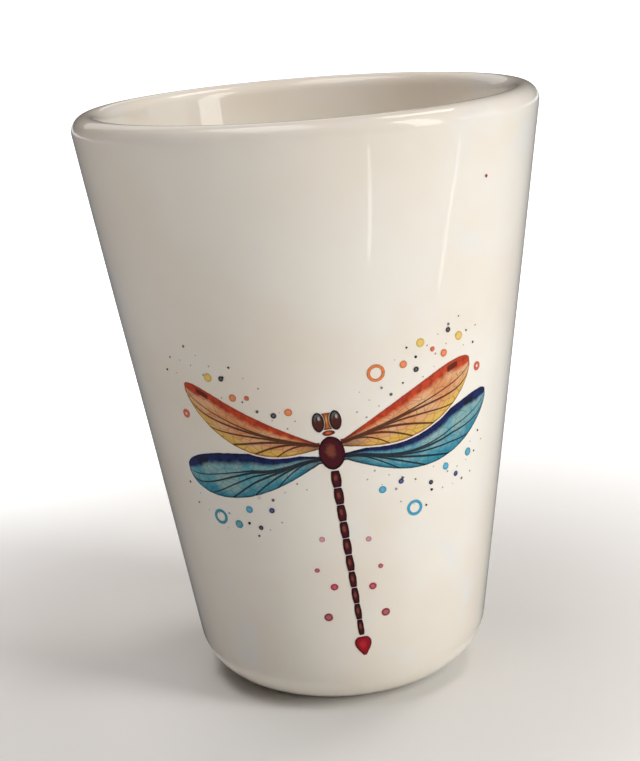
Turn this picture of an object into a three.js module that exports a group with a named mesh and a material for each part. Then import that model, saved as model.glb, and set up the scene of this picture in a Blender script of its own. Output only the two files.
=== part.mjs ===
import * as THREE from "three";
import { mergeVertices } from "three/addons/utils/BufferGeometryUtils.js";

// A small tapered drinking cup of glazed ceramic with a dragonfly printed on its front.
// Millimetres, +Z up. The origin is the centre of the foot ring, on the table, and the print faces -Y.

// The cup, measured on its finished (glazed) faces.
const cupHeight = 60;
const rimLineRadius = 23.4; // outside of the wall, carried up to the rim's height
const baseLineRadius = 14.6; // outside of the wall, carried down to the table
const wallThickness = 3.1; // both glaze coats included; the lip is a full round of this width
const floorThickness = 4.6; // from the table to the inside floor
const heelRadius = 5.6; // outside round between the wall and the underside
const innerHeelRadius = 4.2; // inside round between the wall and the floor

// The glaze and the foot.
const glazeThickness = 0.32;
const bondGap = 0.02; // between two layers that are fused together
const glazeLineHeight = 0.2; // the glaze stops this far above the table
const bareBandWidth = 0.28; // bare clay between the glaze's edge and the foot ring
const footRingWidth = 2.8;
const footWellDepth = 1.1;
const footWellDraft = 0.35; // the well is this much narrower at its ceiling than at the table
const footEdgeChamfer = 0.25;
const wellGlazeThickness = 0.3;
const wellGlazeEdgeDrop = 0.6; // the pool's edge is drawn this far down the well's wall
const wellGlazeEdgeWidth = 0.1;

// The print: a dragonfly, with dots and rings round it, in ink films laid on the glaze. It is laid out
// flat, x to the right and y up, with 0, 0 at the thorax's centre, and then tilted and bent to the cup.
const inkThickness = 0.05;
const inkRoughness = 0.2;
const inkGap = 0.03; // keeps a film's flat facets clear of the glaze
const printAcross = 0.1; // the thorax's centre, along the cup's face from its front line
const printHeight = 28.8;
const printTilt = THREE.MathUtils.degToRad(4.6); // the head leans to the left
const pieceClearance = 0.12; // between two neighbouring films

const thoraxHalfWidth = 1.2;
const thoraxHalfHeight = 1.7;
const collarHalfWidth = 0.62;
const collarHeight = 0.5;
const faceWaist = 0.32; // the face's width at its narrowest, between the eyes
const faceHalfHeight = 0.82;
const eyeHalfWidth = 0.54;
const eyeHalfHeight = 1;
const abdomenSegments = 10;
const abdomenLength = 18.2;
const abdomenWidthAtThorax = 0.92;
const abdomenWidthAtTip = 0.56;
const tailTipLength = 2.2;
const tailTipHalfWidth = 0.8;
const segmentSlimming = 0.28; // how much slimmer a segment is at its ends, as part of its width

// Each wing: side (+1 right, -1 left), height of its root, reach, rise of its tip, chord and bow.
const wings = {
  upper_right: { side: 1, root: 0.95, reach: 14.2, rise: 4.6, chord: 4.8, bow: -0.4, ink: 0xdf8a4e },
  upper_left: { side: -1, root: 0.95, reach: 12.8, rise: 6.6, chord: 4.2, bow: -1.0, ink: 0xdf8a4e },
  lower_right: { side: 1, root: -0.5, reach: 16.4, rise: 2.0, chord: 4.4, bow: -1.4, ink: 0x2a86a0 },
  lower_left: { side: -1, root: -0.5, reach: 14.5, rise: -0.5, chord: 4.7, bow: -0.3, ink: 0x2a86a0 },
};
const wingAbove = { lower_right: "upper_right", lower_left: "upper_left" };
const wingLeadShare = 0.38; // part of the chord above the wing's axis
const wingRootShare = 0.16; // chord at the root, as part of the full chord
const wingFullAt = 0.62; // where along the reach the chord is full
const wingRoundFrom = 0.66; // where the tip starts to round off
const wingTipShare = 0.16; // chord at the very tip, as part of the full chord
const wingGap = 0.2; // a lower wing keeps this far below the one above it
const thinnestChord = 0.1;

// Rings stand off a wing's edge (+1 the upper one, -1 the lower), at a distance out from the body's axis.
const rings = [
  { name: "upper_right", wing: "upper_right", edge: 1, out: 5.2, off: 3.1, radius: 0.85, ink: 0xf08c4a },
  { name: "wing_tip_right", wing: "upper_right", edge: -1, out: 16.6, off: 0.1, radius: 0.45, ink: 0xe2603a },
  { name: "wing_tip_left", wing: "upper_left", edge: -1, out: 14.6, off: 2.0, radius: 0.45, ink: 0xd0583c },
  { name: "lower_left", wing: "lower_left", edge: -1, out: 12.6, off: 1.6, radius: 0.8, ink: 0x3f9fb4 },
  { name: "lower_right", wing: "lower_right", edge: -1, out: 7.2, off: 3.5, radius: 0.82, ink: 0x34b4cf },
];
const ringLineWidth = 0.28;

// Dots are scattered along a wing's edge, or down one side of the abdomen, between two distances.
const warmInks = [0xe8863c, 0x2c2a30, 0xe9c04c, 0xdf5a36];
const coolInks = [0x2f9fc4, 0x1d2c62, 0x37b3b8, 0x2a2c38];
const roseInks = [0xb81c42, 0xd98a9c, 0xa01832, 0xc4506c];
const dotFields = [
  { beside: "upper_left", edge: 1, from: 2.5, to: 12.4, near: 0.6, far: 2.4, dots: 6, inks: warmInks },
  { beside: "upper_right", edge: 1, from: 7.2, to: 15.6, near: 0.7, far: 3.6, dots: 7, inks: warmInks },
  { beside: "lower_left", edge: -1, from: 5.2, to: 11.4, near: 0.6, far: 3.6, dots: 4, inks: coolInks },
  { beside: "lower_right", edge: -1, from: 3.0, to: 16.4, near: 0.6, far: 2.6, dots: 6, inks: coolInks },
  { beside: "tail_left", edge: -1, from: 5.6, to: 19.5, near: 0.8, far: 2.8, dots: 4, inks: roseInks },
  { beside: "tail_right", edge: 1, from: 6.4, to: 20.0, near: 0.8, far: 2.4, dots: 4, inks: roseInks },
];
const dotRadii = [0.36, 0.27, 0.42, 0.24]; // taken in turn
const goldenShare = (Math.sqrt(5) - 1) / 2; // steps of this share spread the dots evenly

// How finely round shapes are divided.
const roundSteps = 64;
const heelSteps = 6;
const lipSteps = 5; // on each side of the crest
const innerHeelSteps = 5;
const wingSteps = 20;
const wingChordSteps = 3;
const ovalSides = 20;
const dotSides = 12;
const ringSides = 16;

const taper = Math.atan((rimLineRadius - baseLineRadius) / cupHeight);
const lipRadius = wallThickness / 2;
const clayDepth = glazeThickness + bondGap;

const sideRadius = (height) => baseLineRadius + height * Math.tan(taper);

// Centres of the cup's three rounds, as radius and height. Each round touches the slanted wall.
function roundCentre(radius, height, insideWall) {
  const wallLine = sideRadius(height) - (insideWall ? wallThickness / Math.cos(taper) : 0);
  return new THREE.Vector2(wallLine - radius / Math.cos(taper), height);
}
const heelCentre = roundCentre(heelRadius, heelRadius, false);
const lipCentre = roundCentre(lipRadius, cupHeight - lipRadius, false);
const innerHeelCentre = roundCentre(innerHeelRadius, floorThickness + innerHeelRadius, true);
const glazeEdgeAngle = -Math.asin(1 - glazeLineHeight / heelRadius);

function arc(centre, radius, from, to, steps) {
  const points = [];
  for (let i = 0; i <= steps; i += 1) {
    const angle = from + ((to - from) * i) / steps;
    points.push(new THREE.Vector2(centre.x + radius * Math.cos(angle), centre.y + radius * Math.sin(angle)));
  }
  return points;
}

// The glazed part of the cup's section at a depth below its finished face: up the outside from the
// glaze's edge, over the lip, down the inside, and across the floor to the axis.
function cupSection(depth) {
  return [
    ...arc(heelCentre, heelRadius - depth, glazeEdgeAngle, -taper, heelSteps),
    ...arc(lipCentre, lipRadius - depth, -taper, Math.PI / 2, lipSteps),
    ...arc(lipCentre, lipRadius - depth, Math.PI / 2, Math.PI - taper, lipSteps).slice(1),
    ...arc(innerHeelCentre, innerHeelRadius + depth, -taper, -Math.PI / 2, innerHeelSteps),
    new THREE.Vector2(0, floorThickness - depth),
  ];
}

// Turns a section that starts and ends on the axis into a solid, with +Z up.
function turned(section) {
  return new THREE.LatheGeometry(section, roundSteps).rotateX(Math.PI / 2);
}

function closedBody(geometry) {
  geometry.deleteAttribute("normal");
  geometry.deleteAttribute("uv");
  const merged = mergeVertices(geometry, 1e-5);
  merged.computeVertexNormals();
  return merged;
}

function addPiece(name, geometry, color, roughness) {
  const material = new THREE.MeshStandardMaterial({ color, roughness, metalness: 0 });
  const piece = new THREE.Mesh(closedBody(geometry), material);
  piece.name = name;
  cup.add(piece);
}

// The fired body: under the glaze it follows the cup's section, and it stands on a bare foot ring.
const footRingOuterRadius =
  heelCentre.x + (heelRadius - clayDepth) * Math.cos(glazeEdgeAngle) - bareBandWidth;
const footRingInnerRadius = footRingOuterRadius - footRingWidth;

function clayBody() {
  const clayHeel = heelRadius - clayDepth;
  const ringTop = heelCentre.y - Math.sqrt(clayHeel ** 2 - (footRingOuterRadius - heelCentre.x) ** 2);
  const underside = [
    new THREE.Vector2(0, footWellDepth),
    new THREE.Vector2(footRingInnerRadius - footWellDraft, footWellDepth),
    new THREE.Vector2(footRingInnerRadius, footEdgeChamfer),
    new THREE.Vector2(footRingInnerRadius + footEdgeChamfer, 0),
    new THREE.Vector2(footRingOuterRadius - footEdgeChamfer, 0),
    new THREE.Vector2(footRingOuterRadius, footEdgeChamfer),
    new THREE.Vector2(footRingOuterRadius, ringTop),
  ];
  return turned([...underside, ...cupSection(clayDepth)]);
}

// One coat of glaze: the finished face and the face that lies on the clay, joined at the glaze's edge.
function glazeCoat() {
  return turned([...cupSection(glazeThickness).reverse(), ...cupSection(0)]);
}

// The pool of glaze on the ceiling of the foot well, with its edge drawn down the well's wall.
function footWellGlaze() {
  const ceiling = footWellDepth - bondGap;
  const ceilingRadius = footRingInnerRadius - footWellDraft - bondGap;
  const edgeRadius = ceilingRadius + (wellGlazeEdgeDrop * footWellDraft) / (footWellDepth - footEdgeChamfer);
  return turned([
    new THREE.Vector2(0, ceiling - wellGlazeThickness),
    new THREE.Vector2(ceilingRadius - wellGlazeThickness, ceiling - wellGlazeThickness),
    new THREE.Vector2(edgeRadius - wellGlazeEdgeWidth, ceiling - wellGlazeEdgeDrop),
    new THREE.Vector2(edgeRadius, ceiling - wellGlazeEdgeDrop),
    new THREE.Vector2(ceilingRadius, ceiling),
    new THREE.Vector2(0, ceiling),
  ]);
}

// A place on the cup's outside: along its face from the front line, up, and out from the face.
function onCup(along, up, out) {
  const turn = along / sideRadius(up);
  const radius = sideRadius(up) + out * Math.cos(taper);
  return new THREE.Vector3(radius * Math.sin(turn), -radius * Math.cos(turn), up - out * Math.sin(taper));
}

// Bends a flat film round the cup. The film's x and y are shaped by outline(x, y), which gives a place
// on the print with the thorax's centre at 0, 0, and its z from 0 to 1 goes through the ink.
function wrapped(flat, outline) {
  const position = flat.getAttribute("position");
  for (let i = 0; i < position.count; i += 1) {
    const place = outline(position.getX(i), position.getY(i));
    place.rotateAround(new THREE.Vector2(0, 0), printTilt);
    const out = inkGap + position.getZ(i) * inkThickness;
    const spot = onCup(printAcross + place.x, printHeight + place.y, out);
    position.setXYZ(i, spot.x, spot.y, spot.z);
  }
  return flat;
}

// A disc of radius 1 and a square of side 1, each 1 thick, to be shaped and wrapped.
function flatDisc(sides) {
  return new THREE.CylinderGeometry(1, 1, 1, sides).rotateX(Math.PI / 2).translate(0, 0, 0.5);
}

function flatSquare(xSteps, ySteps) {
  return new THREE.BoxGeometry(1, 1, 1, xSteps, ySteps).translate(0, 0, 0.5);
}

function oval(x, y, halfWidth, halfHeight, sides) {
  return wrapped(flatDisc(sides), (px, py) => new THREE.Vector2(x + px * halfWidth, y + py * halfHeight));
}

// The face fills the space between the eyes: its sides follow their curve at an even clearance.
function faceFilm(y, eyeX) {
  return wrapped(flatSquare(2, 6), (px, py) => {
    const up = 2 * py * faceHalfHeight;
    const eyeWidth = eyeHalfWidth * Math.sqrt(1 - (up / eyeHalfHeight) ** 2);
    return new THREE.Vector2(2 * px * (eyeX - pieceClearance - eyeWidth), y + up);
  });
}

function ringFilm(x, y, radius) {
  const section = [
    new THREE.Vector2(radius - ringLineWidth, 0),
    new THREE.Vector2(radius, 0),
    new THREE.Vector2(radius, 1),
    new THREE.Vector2(radius - ringLineWidth, 1),
    new THREE.Vector2(radius - ringLineWidth, 0),
  ];
  const flat = new THREE.LatheGeometry(section, ringSides).rotateX(Math.PI / 2);
  return wrapped(flat, (px, py) => new THREE.Vector2(px + x, py + y));
}

// The chord of a wing at a share of its reach: it widens along a sine, then rounds off to the tip.
function wingChord(wing, share) {
  const widening = Math.sin((Math.PI / 2) * Math.min(share / wingFullAt, 1));
  const toTip = Math.max(0, (share - wingRoundFrom) / (1 - wingRoundFrom));
  const rounding = Math.sqrt(1 - (1 - wingTipShare ** 2) * toTip ** 2);
  return wing.chord * (wingRootShare + (1 - wingRootShare) * widening) * rounding;
}

// The upper and lower edge of a wing, at a distance out from the body's axis. The wing's axis rises
// evenly and bows between root and tip, and a lower wing stays below the one above it.
const wingRootOut = thoraxHalfWidth + pieceClearance;

function wingEdges(name, out) {
  const wing = wings[name];
  const share = THREE.MathUtils.clamp((out - wingRootOut) / wing.reach, 0, 1);
  const axis = wing.root + wing.rise * share + wing.bow * Math.sin(Math.PI * share);
  const chord = wingChord(wing, share);
  let upper = axis + wingLeadShare * chord;
  const above = wingAbove[name];
  if (above && out <= wingRootOut + wings[above].reach) {
    upper = Math.min(upper, wingEdges(above, out).lower - wingGap);
  }
  const lower = Math.min(axis - (1 - wingLeadShare) * chord, upper - thinnestChord);
  return { upper, lower };
}

function wingFilm(name) {
  const { side, reach } = wings[name];
  return wrapped(flatSquare(wingSteps, wingChordSteps), (px, py) => {
    const out = wingRootOut + (0.5 + side * px) * reach;
    const { upper, lower } = wingEdges(name, out);
    return new THREE.Vector2(side * out, THREE.MathUtils.lerp(lower, upper, py + 0.5));
  });
}

// A spot off a wing's upper (+1) or lower (-1) edge.
function besideWing(name, edge, out, off) {
  const { upper, lower } = wingEdges(name, out);
  return new THREE.Vector2(wings[name].side * out, edge > 0 ? upper + off : lower - off);
}

// One ring of the abdomen: a barrel a little slimmer at both ends, smaller towards the tip.
function abdomenSegment(index) {
  const pitch = abdomenLength / abdomenSegments;
  const share = (index + 0.5) / abdomenSegments;
  const width = THREE.MathUtils.lerp(abdomenWidthAtThorax, abdomenWidthAtTip, share);
  const middle = -thoraxHalfHeight - pieceClearance - pitch * (index + 0.5);
  return wrapped(flatSquare(2, 4), (px, py) => {
    const slimmer = 1 - segmentSlimming * (2 * py) ** 2;
    return new THREE.Vector2(px * width * slimmer, middle + py * (pitch - pieceClearance));
  });
}

// The leaf-shaped end of the tail: a sine outline, squeezed upwards so that it is widest above its
// middle, that starts and ends a little way in from the sine's own ends.
const tipSineStart = 0.12;
const tipSineEnd = 0.96;
const tipSqueeze = 0.7;

function tailTip() {
  const top = -thoraxHalfHeight - 2 * pieceClearance - abdomenLength;
  return wrapped(flatSquare(4, 6), (px, py) => {
    const down = 0.5 - py;
    const turn = THREE.MathUtils.lerp(tipSineStart, tipSineEnd, down ** tipSqueeze);
    const width = 2 * tailTipHalfWidth * Math.sin(Math.PI * turn);
    return new THREE.Vector2(px * width, top - down * tailTipLength);
  });
}

const cup = new THREE.Group();

addPiece("clay_body", clayBody(), 0xe9e2d6, 0.85);
addPiece("glaze_coat", glazeCoat(), 0xf3eee6, 0.12);
addPiece("foot_well_glaze", footWellGlaze(), 0xf3eee6, 0.16);

for (const [name, wing] of Object.entries(wings)) {
  addPiece(`print_wing_${name}`, wingFilm(name), wing.ink, inkRoughness);
}

// The head stands on the thorax: a collar, then two large eyes with the face between them.
const collarY = thoraxHalfHeight + pieceClearance + collarHeight / 2;
const faceY = collarY + collarHeight / 2 + pieceClearance + faceHalfHeight;
const eyeX = faceWaist / 2 + pieceClearance + eyeHalfWidth;
const thorax = oval(0, 0, thoraxHalfWidth, thoraxHalfHeight, ovalSides);
const collar = oval(0, collarY, collarHalfWidth, collarHeight / 2, dotSides);
const face = faceFilm(faceY, eyeX);
const leftEye = oval(-eyeX, faceY, eyeHalfWidth, eyeHalfHeight, ovalSides);
const rightEye = oval(eyeX, faceY, eyeHalfWidth, eyeHalfHeight, ovalSides);
addPiece("print_thorax", thorax, 0x4a1620, inkRoughness);
addPiece("print_collar", collar, 0xb23a24, inkRoughness);
addPiece("print_face", face, 0xc9762f, inkRoughness);
addPiece("print_eye_left", leftEye, 0x3c1a1c, inkRoughness);
addPiece("print_eye_right", rightEye, 0x3c1a1c, inkRoughness);

for (let i = 0; i < abdomenSegments; i += 1) {
  addPiece(`print_abdomen_${i + 1}`, abdomenSegment(i), 0x4a1620, inkRoughness);
}
addPiece("print_tail_tip", tailTip(), 0x9c1020, inkRoughness);

for (const ring of rings) {
  const centre = besideWing(ring.wing, ring.edge, ring.out, ring.off + ring.radius);
  addPiece(`print_ring_${ring.name}`, ringFilm(centre.x, centre.y, ring.radius), ring.ink, inkRoughness);
}

for (const field of dotFields) {
  for (let i = 0; i < field.dots; i += 1) {
    const radius = dotRadii[i % dotRadii.length];
    const along = THREE.MathUtils.lerp(field.from, field.to, ((i + 1) * goldenShare) % 1);
    const off = THREE.MathUtils.lerp(field.near, field.far, (i + 0.5) / field.dots) + radius;
    const centre = wings[field.beside]
      ? besideWing(field.beside, field.edge, along, off)
      : new THREE.Vector2(field.edge * (abdomenWidthAtThorax / 2 + off), -along);
    const dot = oval(centre.x, centre.y, radius, radius, dotSides);
    addPiece(`print_dot_${field.beside}_${i + 1}`, dot, field.inks[i % field.inks.length], inkRoughness);
  }
}

export default cup;
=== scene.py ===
import math

import bpy
import numpy as np
from mathutils import Matrix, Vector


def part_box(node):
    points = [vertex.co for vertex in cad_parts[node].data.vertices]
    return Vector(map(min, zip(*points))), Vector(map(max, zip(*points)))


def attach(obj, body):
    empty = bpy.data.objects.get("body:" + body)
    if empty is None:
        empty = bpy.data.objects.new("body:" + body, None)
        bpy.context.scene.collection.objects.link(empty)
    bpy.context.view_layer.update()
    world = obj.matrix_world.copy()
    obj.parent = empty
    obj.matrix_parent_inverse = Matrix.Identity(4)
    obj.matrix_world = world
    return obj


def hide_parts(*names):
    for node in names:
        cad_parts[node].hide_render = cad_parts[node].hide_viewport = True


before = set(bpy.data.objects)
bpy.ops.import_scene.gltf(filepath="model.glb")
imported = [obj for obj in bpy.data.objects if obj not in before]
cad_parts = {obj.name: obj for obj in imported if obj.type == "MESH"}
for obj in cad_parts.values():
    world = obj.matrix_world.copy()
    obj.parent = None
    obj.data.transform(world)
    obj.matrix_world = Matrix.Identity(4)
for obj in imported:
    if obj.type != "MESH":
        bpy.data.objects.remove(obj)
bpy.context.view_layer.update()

# A tapered cup of glazed ceramic with a dragonfly printed on its front, in metres. The print faces -Y.
mm = 0.001
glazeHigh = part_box("glaze_coat")[1]

camera = {
    "distance": 167.1 * mm,  # from the cup's axis
    "elevation": 16.01,  # above level; this and the three turns below are in degrees
    "aimHeight": 29.25 * mm,
    "roll": 4.41,  # tilts the right side of the rim up in the picture
    "yaw": -0.19,
    "pitch": 0.46,
    "lens": 75.7,
}


def placeCamera(values):
    # looks at the cup's axis from the front and above, then turns a little by yaw, pitch and roll
    rise = math.radians(values["elevation"])
    yaw, pitch, roll = (math.radians(values[key]) for key in ("yaw", "pitch", "roll"))
    back = np.array([0.0, -math.cos(rise), math.sin(rise)])
    upright = np.array([0.0, math.sin(rise), math.cos(rise)])
    side = np.array([1.0, 0.0, 0.0])
    ahead = math.cos(pitch) * (math.sin(yaw) * side - math.cos(yaw) * back) + math.sin(pitch) * upright
    right = np.cross(ahead, [0.0, 0.0, 1.0])
    right = right / np.linalg.norm(right)
    above = np.cross(right, ahead)
    matrix = np.eye(4)
    matrix[:3, 0] = math.cos(roll) * right - math.sin(roll) * above
    matrix[:3, 1] = math.sin(roll) * right + math.cos(roll) * above
    matrix[:3, 2] = -ahead
    matrix[:3, 3] = values["distance"] * back + np.array([0.0, 0.0, values["aimHeight"]])
    data = bpy.data.cameras.new("camera")
    data.lens = values["lens"]
    data.clip_start = 10 * mm
    made = bpy.data.objects.new("camera", data)
    bpy.context.scene.collection.objects.link(made)
    made.matrix_world = Matrix(matrix.tolist())
    bpy.context.scene.camera = made


placeCamera(camera)
print("camera placed")


class Wire:
    # One output of a material's node tree. Sums written on it add Math nodes; node() adds any other node.
    def __init__(self, tree, socket=None):
        self.tree = tree
        self.socket = socket

    def node(self, kind, settings=None, inputs=None, output=0):
        made = self.tree.nodes.new("ShaderNode" + kind)
        for key, value in (settings or {}).items():
            setattr(made, key, value)
        for key, value in (inputs or {}).items():
            if isinstance(value, Wire):
                self.tree.links.new(value.socket, made.inputs[key])
            else:
                made.inputs[key].default_value = value
        return Wire(self.tree, made.outputs[output] if made.outputs else None)

    def math(self, operation, *values):
        return self.node("Math", {"operation": operation}, dict(enumerate(values)))

    def __add__(self, other):
        return self.math("ADD", self, other)

    def __sub__(self, other):
        return self.math("SUBTRACT", self, other)

    def __rsub__(self, other):
        return self.math("SUBTRACT", other, self)

    def __mul__(self, other):
        return self.math("MULTIPLY", self, other)

    def __truediv__(self, other):
        return self.math("DIVIDE", self, other)

    def __pow__(self, other):
        return self.math("POWER", self, other)

    def __abs__(self):
        return self.math("ABSOLUTE", self)

    __radd__ = __add__
    __rmul__ = __mul__

    def least(self, other):
        return self.math("MINIMUM", self, other)

    def most(self, other):
        return self.math("MAXIMUM", self, other)

    def step(self, low, high):
        # rises smoothly from 0 at low to 1 at high; low above high makes it fall
        inputs = {"Value": self, "From Min": low, "From Max": high, "To Min": 0.0, "To Max": 1.0}
        return self.node("MapRange", {"interpolation_type": "SMOOTHSTEP"}, inputs)

    def blend(self, first, second):
        # a colour that goes from first to second as this value goes from 0 to 1
        return self.node("Mix", {"data_type": "RGBA"}, {0: self, 6: first, 7: second}, output=2)


def colour(code):
    # a colour written as a six-digit web code, turned into linear light
    shares = [int(code[i:i + 2], 16) / 255 for i in (0, 2, 4)]
    linear = [s / 12.92 if s <= 0.04045 else ((s + 0.055) / 1.055) ** 2.4 for s in shares]
    return (*linear, 1.0)


def newMaterial(name):
    # an empty material, and a wire that adds nodes to it
    material = bpy.data.materials.new(name)
    material.use_nodes = True
    material.node_tree.nodes.clear()
    return material, Wire(material.node_tree)


def noise(sheet, scale, detail=3.0, roughness=0.55):
    # soft random values near 0.5, from object coordinates in metres; scale is waves to a metre
    place = sheet.node("TexCoord", output=3)
    inputs = {"Vector": place, "Scale": scale, "Detail": detail, "Roughness": roughness}
    return sheet.node("TexNoise", None, inputs)


def finishSurface(sheet, inputs):
    # the material's one shader
    shader = sheet.node("BsdfPrincipled", None, inputs)
    sheet.node("OutputMaterial", None, {"Surface": shader})


# The cup's section. These repeat the frame's own sizes; the height is read from the frame.
cup = {
    "height": glazeHigh.z,
    "rimLine": 23.4 * mm,
    "baseLine": 14.6 * mm,
    "wall": 3.1 * mm,
    "floor": 4.6 * mm,
    "heelRound": 5.6 * mm,
    "innerHeelRound": 4.2 * mm,
    "glaze": 0.32 * mm,
    "bond": 0.02 * mm,
    "glazeLine": 0.2 * mm,
    "bareBand": 0.28 * mm,
    "footRingWidth": 2.8 * mm,
    "footWellDepth": 1.1 * mm,
    "footWellDraft": 0.35 * mm,
    "footChamfer": 0.25 * mm,
    "wellGlaze": 0.3 * mm,
}
taper = math.atan((cup["rimLine"] - cup["baseLine"]) / cup["height"])


def sideRadius(height):
    # the outside wall: a straight line from baseLine at the table to rimLine at the rim
    return cup["baseLine"] + height * math.tan(taper)


def roundCentre(radius, height, inset=0.0):
    # centre of a round that touches the slanted wall, or a line set in from it
    return np.array([sideRadius(height) - (radius + inset) / math.cos(taper), height])


lipRound = cup["wall"] / 2
heelCentre = roundCentre(cup["heelRound"], cup["heelRound"])
lipCentre = roundCentre(lipRound, cup["height"] - lipRound)
innerHeelCentre = roundCentre(cup["innerHeelRound"], cup["floor"] + cup["innerHeelRound"], cup["wall"])
glazeEdge = -math.asin(1 - cup["glazeLine"] / cup["heelRound"])


def arc(centre, radius, start, end, steps):
    # points on a circle: centre plus radius times the cosine and sine of evenly spread angles
    angles = np.linspace(start, end, steps)
    return centre + radius * np.stack([np.cos(angles), np.sin(angles)], axis=-1)


def line(start, end, steps):
    # points between two ends, without the ends
    shares = np.linspace(0.0, 1.0, steps + 2)[1:-1, None]
    return (1 - shares) * start + shares * end


sectionSteps = {"heel": 18, "outside": 70, "lip": 28, "inside": 50, "innerHeel": 14, "floor": 8}


def cupSection(depth, detail=1.0):
    # the glazed section at a depth below its face: heel arc, straight side, lip arc, inside wall,
    # inner heel arc and floor, ending on the axis
    steps = {name: max(3, round(count * detail)) for name, count in sectionSteps.items()}
    heel = arc(heelCentre, cup["heelRound"] - depth, glazeEdge, -taper, steps["heel"])
    lip = arc(lipCentre, lipRound - depth, -taper, math.pi - taper, steps["lip"])
    innerRound = cup["innerHeelRound"] + depth
    innerHeel = arc(innerHeelCentre, innerRound, -taper, -math.pi / 2, steps["innerHeel"])
    middle = np.array([[0.0, cup["floor"] - depth]])
    outside = line(heel[-1], lip[0], steps["outside"])
    inside = line(lip[-1], innerHeel[0], steps["inside"])
    floor = line(innerHeel[-1], middle[0], steps["floor"])
    return np.concatenate([heel, outside, lip, inside, innerHeel, floor, middle])


ripples = [  # waves round the cup, waves per metre of height, where each starts, and its depth in mm
    (3, 95, 0.6, 0.030), (5, -140, 2.1, 0.016), (11, 210, 4.0, 0.0035), (2, 260, 0.0, 0.004),
    (31, 330, 0.0, 0.003), (23, -270, 1.0, 0.003),
]


def ripple(turn, height):
    # how far the glaze swells out from a true cone: the sum of a few sine waves round and up the cup
    waves = [depth * np.sin(around * turn + up * height + start) for around, up, start, depth in ripples]
    return sum(waves) * mm


def meshPiece(name, points, quads, triangles, sharpAngle=35.0):
    # a smooth-shaded piece whose edges sharper than sharpAngle, in degrees, stay crisp
    mesh = bpy.data.meshes.new(name)
    mesh.from_pydata(points.tolist(), [], quads.tolist() + triangles.tolist())
    mesh.shade_smooth()
    mesh.set_sharp_from_angle(angle=math.radians(sharpAngle))
    mesh.update()
    piece = bpy.data.objects.new(name, mesh)
    bpy.context.scene.collection.objects.link(piece)
    return piece


def turned(name, section, around, swell=None):
    # turns a section that starts and ends on the axis; swell(turn, height) pushes it out along its normal
    nextPoints = np.roll(section, -1, axis=0)
    area = np.sum(section[:, 0] * nextPoints[:, 1] - nextPoints[:, 0] * section[:, 1])
    section = section if area > 0 else section[::-1]
    slope = np.gradient(section, axis=0)
    normal = np.stack([slope[:, 1], -slope[:, 0]], axis=-1)
    normal = normal / np.maximum(np.linalg.norm(normal, axis=1, keepdims=True), 1e-12)
    turn = np.linspace(0.0, 2 * math.pi, around, endpoint=False)
    radius = np.repeat(section[1:-1, :1], around, axis=1)
    height = np.repeat(section[1:-1, 1:], around, axis=1)
    if swell is not None:
        out = swell(turn[None, :], height)
        radius, height = radius + out * normal[1:-1, :1], height + out * normal[1:-1, 1:]
    rings = np.stack([radius * np.sin(turn), -radius * np.cos(turn), height], axis=-1).reshape(-1, 3)
    poles = np.array([[0.0, 0.0, section[0, 1]], [0.0, 0.0, section[-1, 1]]])
    points = np.concatenate([rings, poles])
    index = np.arange(len(rings)).reshape(-1, around)
    beside = np.roll(index, -1, axis=1)
    quads = np.stack([index[:-1], beside[:-1], beside[1:], index[1:]], axis=-1).reshape(-1, 4)
    first = np.full(around, len(rings))
    start = np.stack([first, beside[0], index[0]], axis=-1)
    end = np.stack([first + 1, index[-1], beside[-1]], axis=-1)
    return meshPiece(name, points, quads, np.concatenate([start, end]))


def fadedRipple(turn, height):
    # the outside's ripple, dying out towards the foot and the lip
    low, high = 3 * mm, cup["height"] - 2 * mm
    fade = np.clip((height - low) / (5 * mm), 0, 1) * np.clip((high - height) / (5 * mm), 0, 1)
    return ripple(turn, height) * fade * fade * (3 - 2 * fade)


def makeGlaze():
    # the finished face and, just under it, the face that lies on the clay, as one closed coat
    face = cupSection(0.0)
    under = cupSection(cup["glaze"], 0.4)
    return turned("glazeCoat", np.concatenate([under[::-1], face]), 256, fadedRipple)


def makeClay():
    # under the glaze it follows the cup's section; below, a bare heel band and a rounded foot ring
    depth = cup["glaze"] + cup["bond"]
    section = cupSection(depth, 0.6)
    outer = section[0, 0] - cup["bareBand"]
    inner = outer - cup["footRingWidth"]
    clayHeel = cup["heelRound"] - depth
    ringTop = heelCentre[1] - math.sqrt(clayHeel ** 2 - (outer - heelCentre[0]) ** 2)
    edge = cup["footChamfer"]
    well = np.array([[0.0, cup["footWellDepth"]], [inner - cup["footWellDraft"], cup["footWellDepth"]]])
    innerRound = arc(np.array([inner + edge, edge]), edge, math.pi, 1.5 * math.pi, 7)
    outerRound = arc(np.array([outer - edge, edge]), edge, -0.5 * math.pi, 0.0, 7)
    flat = line(innerRound[-1], outerRound[0], 6)
    ceiling = line(well[0], well[1], 6)
    top = np.array([[outer, ringTop]])
    underside = np.concatenate([well[:1], ceiling, well[1:], innerRound, flat, outerRound, top])
    return turned("clayBody", np.concatenate([underside, section]), 192), inner


def makeWellGlaze(ringInner):
    # the pool of glaze on the foot well's ceiling, thinner in the middle and drawn down at its edge
    ceiling = cup["footWellDepth"] - cup["bond"]
    rim = ringInner - cup["footWellDraft"] - cup["bond"]
    shares = np.linspace(0.0, 1.0, 24)
    sag = cup["wellGlaze"] * (0.85 + 0.15 * shares ** 2 + 0.9 * np.maximum(shares - 0.93, 0) / 0.07)
    face = np.stack([rim * shares, ceiling - sag], axis=-1)
    back = np.stack([rim * shares[::-1], np.full(24, ceiling)], axis=-1)
    return turned("footWellGlaze", np.concatenate([face, back]), 128)


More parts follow.
